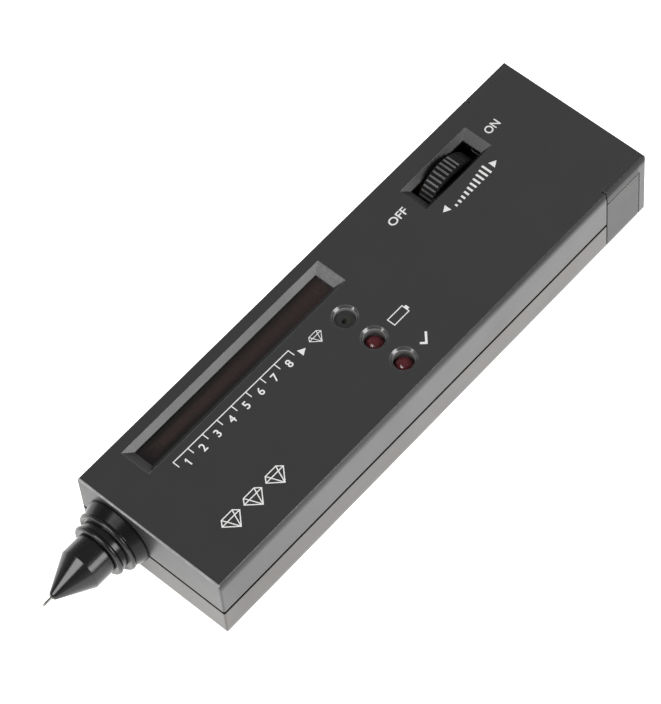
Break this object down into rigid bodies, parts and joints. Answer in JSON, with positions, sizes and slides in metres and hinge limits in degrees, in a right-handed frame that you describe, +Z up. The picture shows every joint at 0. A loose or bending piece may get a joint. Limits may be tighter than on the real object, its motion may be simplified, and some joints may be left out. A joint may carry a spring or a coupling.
{
  "type": "diamond tester pen",
  "caption": "Flat pocket gem tester with a sprung heat probe on its nose, a light bar behind a dark window, indicator lamps, a thumbwheel switch and a sliding battery cover.",
  "frame": {"origin": "on the table under the middle of the tester's length and width", "axes": "+X to the rear, where the battery cover is, so the probe points to -X; +Y to the left side as seen facing the probe, where the probe, the window and the thumbwheel are; +Z up out of the printed top face"},
  "size_m": [0.1712, 0.0432, 0.0217],
  "materials": {
    "case_plastic": "fine-grained moulded dark grey ABS",
    "print_white": "white pad print",
    "probe_plastic": "polished black plastic",
    "needle_copper": "dull plated copper",
    "sleeve_brass": "turned brass",
    "heater_ceramic": "unglazed white ceramic",
    "plain_steel": "zinc-plated steel",
    "touch_steel": "brushed stainless sheet",
    "wheel_plastic": "black moulded plastic, worn bright on the ridges",
    "inner_plastic": "black moulded plastic",
    "filter_red": "smoked dark red acrylic",
    "lamp_red": "clear red cast resin",
    "control_brown": "brown phenolic",
    "switch_can": "tinned steel",
    "board_green": "green solder resist on glass laminate",
    "chip_black": "black epoxy with tinned legs",
    "can_blue": "dark blue sleeve",
    "resistor_tan": "tan lacquer with coloured bands",
    "trimmer_blue": "blue moulded plastic",
    "connector_white": "natural nylon",
    "wire_yellow": "soft vinyl sheath",
    "wire_red": "soft vinyl sheath",
    "wire_black": "soft vinyl sheath",
    "battery_can": "plain dark wrapped metal can",
    "foam_black": "open-cell black foam"
  },
  "bodies": {
    "case": {"upper_case": "case_plastic", "lower_case": "case_plastic", "case_screws": "plain_steel", "touch_plate": "touch_steel", "probe_collar": "probe_plastic", "nose_cone": "probe_plastic", "probe_sleeve": "sleeve_brass", "probe_spring": "plain_steel", "probe_terminal": "inner_plastic", "probe_wires": "wire_yellow", "probe_connector": "connector_white", "window_filter": "filter_red", "light_baffle": "inner_plastic", "bar_leds": "lamp_red", "battery_lamp": "lamp_red", "ready_lamp": "lamp_red", "buzzer": "inner_plastic", "volume_control": "control_brown", "power_switch": "switch_can", "circuit_board": "board_green", "board_screws": "plain_steel", "driver_chip": "chip_black", "amplifier_chip": "chip_black", "capacitors": "can_blue", "resistors": "resistor_tan", "trimmer": "trimmer_blue", "transistors": "chip_black", "battery": "battery_can", "battery_studs": "plain_steel", "battery_snap": "inner_plastic", "red_lead": "wire_red", "black_lead": "wire_black"},
    "wheel": {"volume_wheel": "wheel_plastic", "wheel_shaft": "plain_steel", "wheel_screw": "plain_steel"},
    "cover": {"battery_cover": "case_plastic", "battery_pad": "foam_black"},
    "tip": {"probe_tip": "needle_copper", "probe_heater": "heater_ceramic"}
  },
  "joints": [
    {"name": "wheel_turn", "type": "hinge", "parent": "case", "child": "wheel", "pos_m": [0.0538, 0.0121, 0.0127], "axis": [0, 1, 0], "range_deg": [0, 270]},
    {"name": "cover_slide", "type": "slide", "parent": "case", "child": "cover", "axis": [1, 0, 0], "range_m": [0, 0.022]},
    {"name": "needle_press", "type": "slide", "parent": "case", "child": "tip", "axis": [1, 0, 0], "range_m": [0, 0.0015], "stiffness_N_per_m": 150, "springref_m": -0.002, "deforming": ["probe_spring"]}
  ]
}
